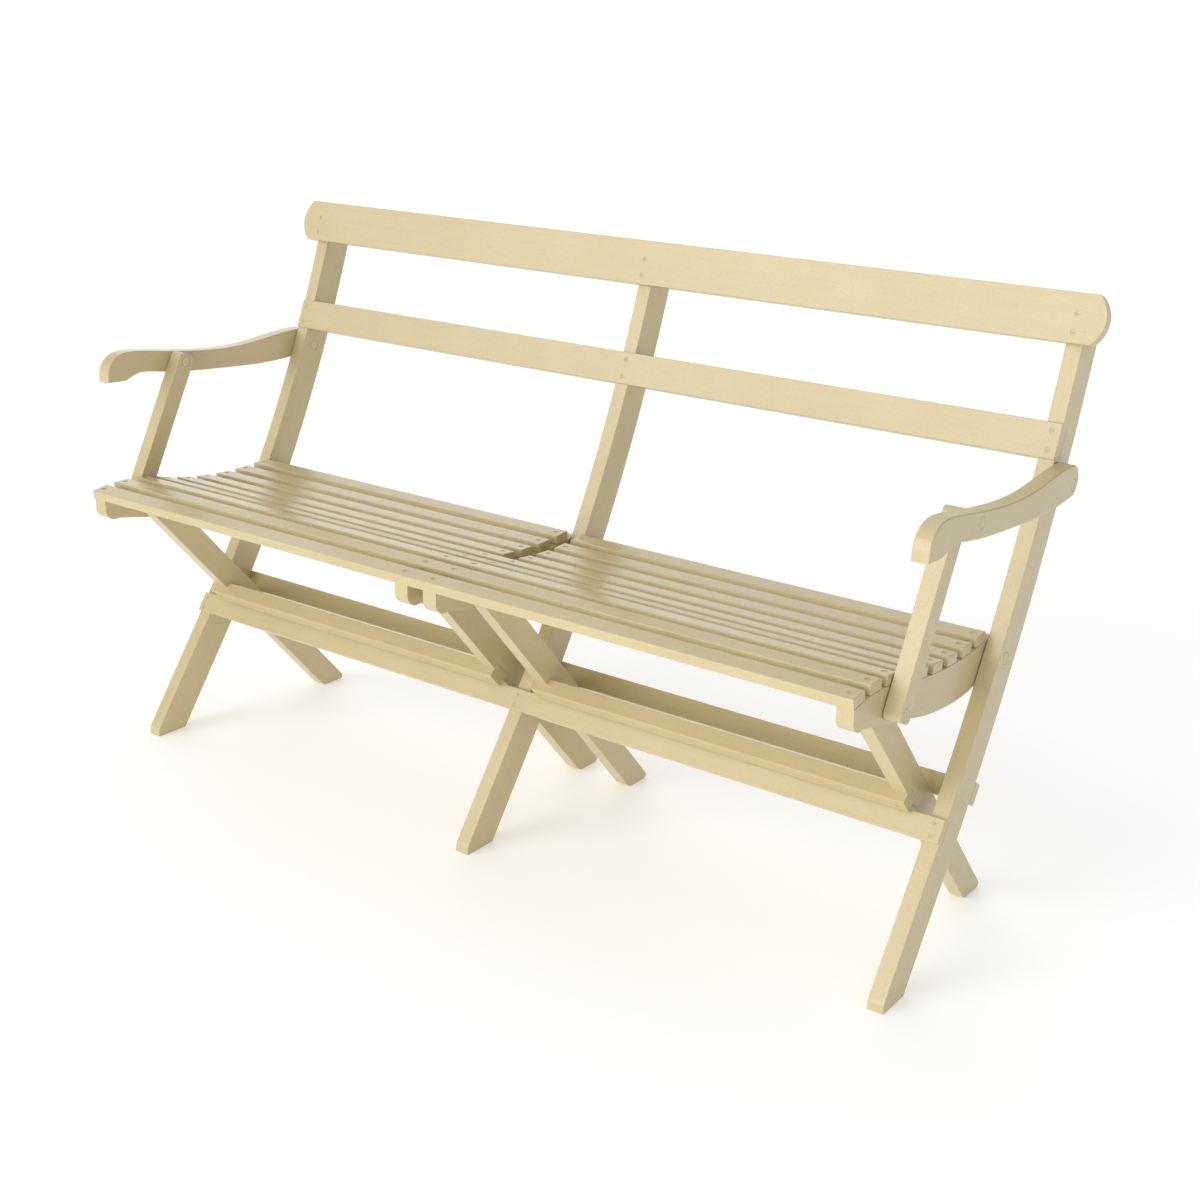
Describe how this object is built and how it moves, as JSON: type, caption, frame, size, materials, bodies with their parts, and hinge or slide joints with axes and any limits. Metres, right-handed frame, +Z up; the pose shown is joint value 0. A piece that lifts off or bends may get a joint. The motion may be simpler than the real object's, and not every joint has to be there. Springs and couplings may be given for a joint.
{
  "type": "folding garden bench",
  "caption": "Folding slatted wooden garden bench with curved back stiles, wide top rail, swinging arms and crossed legs, painted pale cream.",
  "frame": {"origin": "centre of the opened bench's bounding box, on the ground plane", "axes": "+X along the bench to the right as seen from the front, +Y from the front edge of the seat to the back, +Z up"},
  "size_m": [1.5, 0.618, 0.8878],
  "materials": {
    "painted_boards": "satin cream paint over planed softwood",
    "painted_slats": "satin cream paint over planed softwood",
    "painted_plugs": "satin cream paint over end-grain plugs",
    "painted_screws": "screw heads painted over in the same cream",
    "zinc_steel": "zinc-plated steel"
  },
  "bodies": {
    "back_frame": {"stile_left": "painted_boards", "stile_middle": "painted_boards", "stile_right": "painted_boards", "top_rail": "painted_boards", "lower_back_rail": "painted_boards", "front_stretcher": "painted_boards", "rear_stretcher": "painted_boards", "seat_pivot_bolt_left": "zinc_steel", "seat_pivot_bolt_middle": "zinc_steel", "seat_pivot_bolt_right": "zinc_steel", "arm_pivot_bolt_left": "zinc_steel", "arm_pivot_bolt_right": "zinc_steel", "stile_plugs": "painted_plugs", "frame_screws": "painted_screws"},
    "seat": {"seat_slat_1": "painted_slats", "seat_slat_2": "painted_slats", "seat_slat_3": "painted_slats", "seat_slat_4": "painted_slats", "seat_slat_5": "painted_slats", "seat_slat_6_left": "painted_slats", "seat_slat_6_right": "painted_slats", "seat_slat_7_left": "painted_slats", "seat_slat_7_right": "painted_slats", "seat_slat_8_left": "painted_slats", "seat_slat_8_right": "painted_slats", "seat_slat_9_left": "painted_slats", "seat_slat_9_right": "painted_slats", "bearer_left_outer": "painted_boards", "bearer_left_inner": "painted_boards", "bearer_right_inner": "painted_boards", "bearer_right_outer": "painted_boards", "front_bolt_left": "zinc_steel", "front_bolt_right": "zinc_steel", "inner_leg_bolt_left": "zinc_steel", "inner_leg_bolt_right": "zinc_steel", "seat_screws": "painted_screws"},
    "arm_left": {"arm_left": "painted_boards", "arm_plugs_left": "painted_plugs"},
    "arm_right": {"arm_right": "painted_boards", "arm_plugs_right": "painted_plugs"},
    "arm_support_left": {"arm_support_left": "painted_boards", "support_bolt_left": "zinc_steel", "support_plugs_left": "painted_plugs"},
    "arm_support_right": {"arm_support_right": "painted_boards", "support_bolt_right": "zinc_steel", "support_plugs_right": "painted_plugs"},
    "leg_frame_left": {"leg_left_outer": "painted_boards", "leg_left_inner": "painted_boards", "batten_left": "painted_boards", "batten_screws_left": "painted_screws"},
    "leg_frame_right": {"leg_right_outer": "painted_boards", "leg_right_inner": "painted_boards", "batten_right": "painted_boards", "batten_screws_right": "painted_screws"}
  },
  "joints": [
    {"name": "seat_fold", "type": "hinge", "parent": "back_frame", "child": "seat", "pos_m": [0, 0.08473, 0.4125], "axis": [-1, 0, 0], "range_deg": [0, 84]},
    {"name": "arm_swing_left", "type": "hinge", "parent": "back_frame", "child": "arm_left", "pos_m": [-0.733, 0.19823, 0.637], "axis": [-1, 0, 0], "range_deg": [0, 84]},
    {"name": "support_swing_left", "type": "hinge", "parent": "seat", "child": "arm_support_left", "pos_m": [-0.708, -0.21427, 0.426], "axis": [-1, 0, 0], "range_deg": [-84, 0]},
    {"name": "leg_swing_left", "type": "hinge", "parent": "seat", "child": "leg_frame_left", "pos_m": [-0.355, -0.21427, 0.426], "axis": [-1, 0, 0], "range_deg": [-30.24, 0]},
    {"name": "arm_swing_right", "type": "hinge", "parent": "back_frame", "child": "arm_right", "pos_m": [0.733, 0.19823, 0.637], "axis": [-1, 0, 0], "range_deg": [0, 84]},
    {"name": "support_swing_right", "type": "hinge", "parent": "seat", "child": "arm_support_right", "pos_m": [0.708, -0.21427, 0.426], "axis": [-1, 0, 0], "range_deg": [-84, 0]},
    {"name": "leg_swing_right", "type": "hinge", "parent": "seat", "child": "leg_frame_right", "pos_m": [0.355, -0.21427, 0.426], "axis": [-1, 0, 0], "range_deg": [-30.24, 0]}
  ],
  "couplings": [
    {"joint": "arm_swing_left", "follows": "seat_fold", "ratio": 1},
    {"joint": "support_swing_left", "follows": "seat_fold", "ratio": -1},
    {"joint": "leg_swing_left", "follows": "seat_fold", "ratio": -0.36},
    {"joint": "arm_swing_right", "follows": "seat_fold", "ratio": 1},
    {"joint": "support_swing_right", "follows": "seat_fold", "ratio": -1},
    {"joint": "leg_swing_right", "follows": "seat_fold", "ratio": -0.36}
  ]
}
